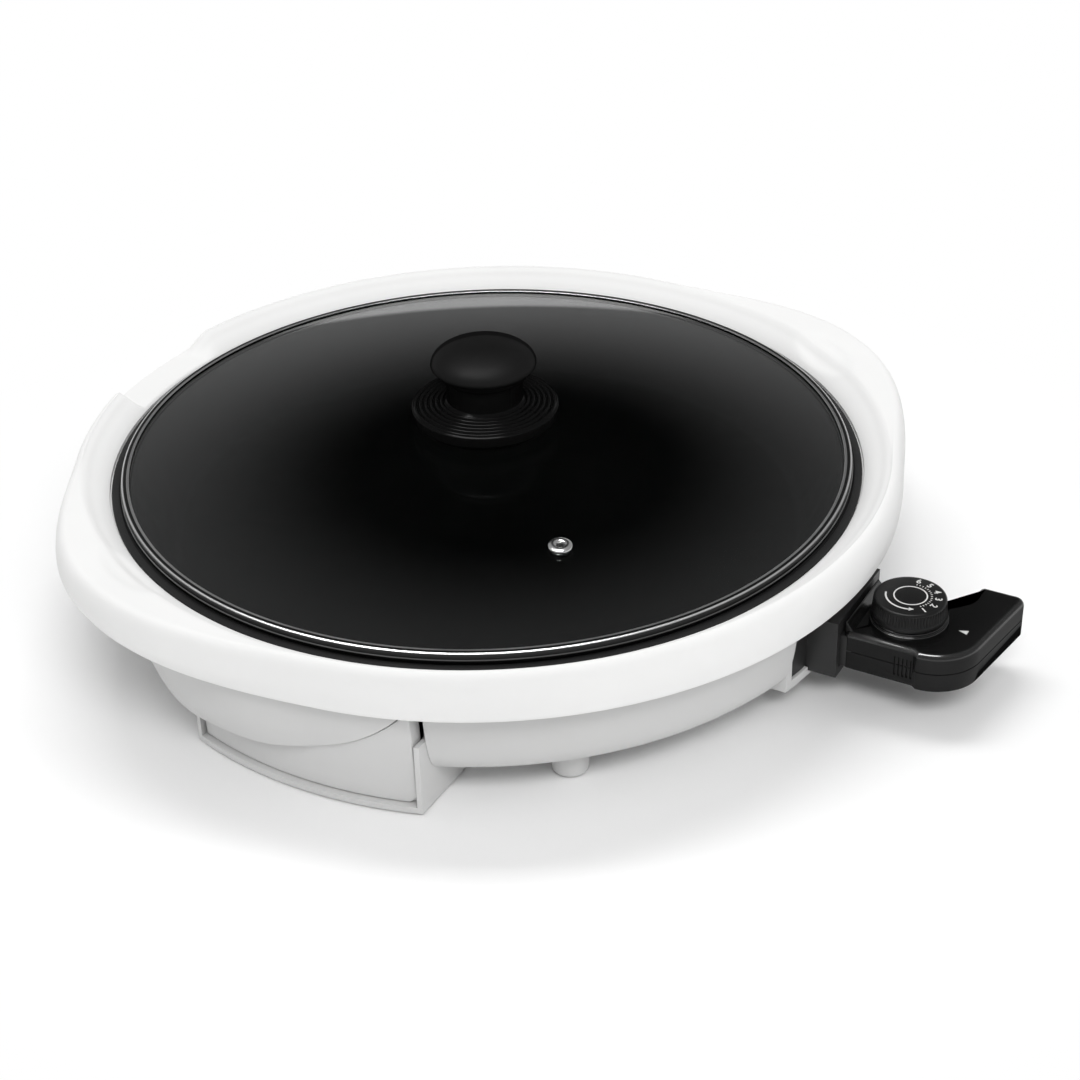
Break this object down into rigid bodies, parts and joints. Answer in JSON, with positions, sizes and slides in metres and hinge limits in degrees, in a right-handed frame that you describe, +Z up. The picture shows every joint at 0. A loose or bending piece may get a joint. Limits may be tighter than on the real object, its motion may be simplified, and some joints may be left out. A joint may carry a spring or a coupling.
{
  "type": "electric grill pan",
  "caption": "Round countertop electric grill: black non-stick pan in a white body with handles, lift-off domed glass lid, grease drawer and plug-in probe thermostat.",
  "frame": {"origin": "table surface under the middle of the whole grill's bounding box", "axes": "+Z up, +X from the body towards the thermostat, -Y the way the grease drawer opens"},
  "size_m": [0.5042, 0.4462, 0.143],
  "materials": {
    "white_plastic": "smooth satin gloss moulding",
    "foot_rubber": "matte rubber",
    "nonstick": "cast, with a black non-stick coating",
    "heater_sheath": "heat-dulled sheath",
    "zinc_steel": "plated",
    "bright_steel": "bright drawn",
    "heatproof_plastic": "fine matte moulding",
    "lid_glass": "clear tempered",
    "polished_band": "polished stainless",
    "knob_gloss": "glossy moulding",
    "knob_matte": "soft matte",
    "knob_rubber": "soft rubber",
    "case_plastic": "glossy moulding",
    "dial_plastic": "satin moulding with pale print",
    "brass": "plain",
    "gland_rubber": "matte rubber",
    "pale_print": "pale print"
  },
  "bodies": {
    "base": {"top_ring": "white_plastic", "base_bowl": "white_plastic", "bottom_plate": "white_plastic", "plate_screws": "zinc_steel", "drawer_housing": "white_plastic", "housing_screws": "zinc_steel", "feet": "white_plastic", "foot_pads": "foot_rubber", "pan": "nonstick", "pan_floor": "nonstick", "heating_element": "heater_sheath", "element_straps": "zinc_steel", "terminal_pins": "bright_steel", "probe_sleeve": "bright_steel", "terminal_shroud": "heatproof_plastic", "socket_frame": "white_plastic"},
    "lid": {"lid_glass": "lid_glass", "lid_band": "polished_band", "vent_eyelet": "polished_band", "knob_base": "knob_gloss", "knob_cap": "knob_matte", "knob_screw": "zinc_steel", "knob_washer": "knob_rubber"},
    "drawer": {"grease_drawer": "white_plastic"},
    "controller": {"case_lower": "case_plastic", "case_upper": "case_plastic", "plug_nose": "heatproof_plastic", "contact_sockets": "brass", "probe": "bright_steel", "thermostat_switch": "brass", "cord_gland": "gland_rubber", "case_screws": "zinc_steel", "pointer_mark": "pale_print"},
    "dial": {"dial": "dial_plastic", "dial_spindle": "bright_steel"}
  },
  "joints": [
    {"name": "lid_lift", "type": "slide", "parent": "base", "child": "lid", "axis": [0, 0, 1], "range_m": [0, 0.15]},
    {"name": "drawer_slide", "type": "slide", "parent": "base", "child": "drawer", "axis": [0, -1, 0], "range_m": [0, 0.115]},
    {"name": "controller_unplug", "type": "slide", "parent": "base", "child": "controller", "axis": [1, 0, 0], "range_m": [0, 0.095]},
    {"name": "dial_turn", "type": "hinge", "parent": "controller", "child": "dial", "pos_m": [0.20665, 0.00362, 0.05], "axis": [0, 0, 1], "range_deg": [-270, 0]}
  ]
}
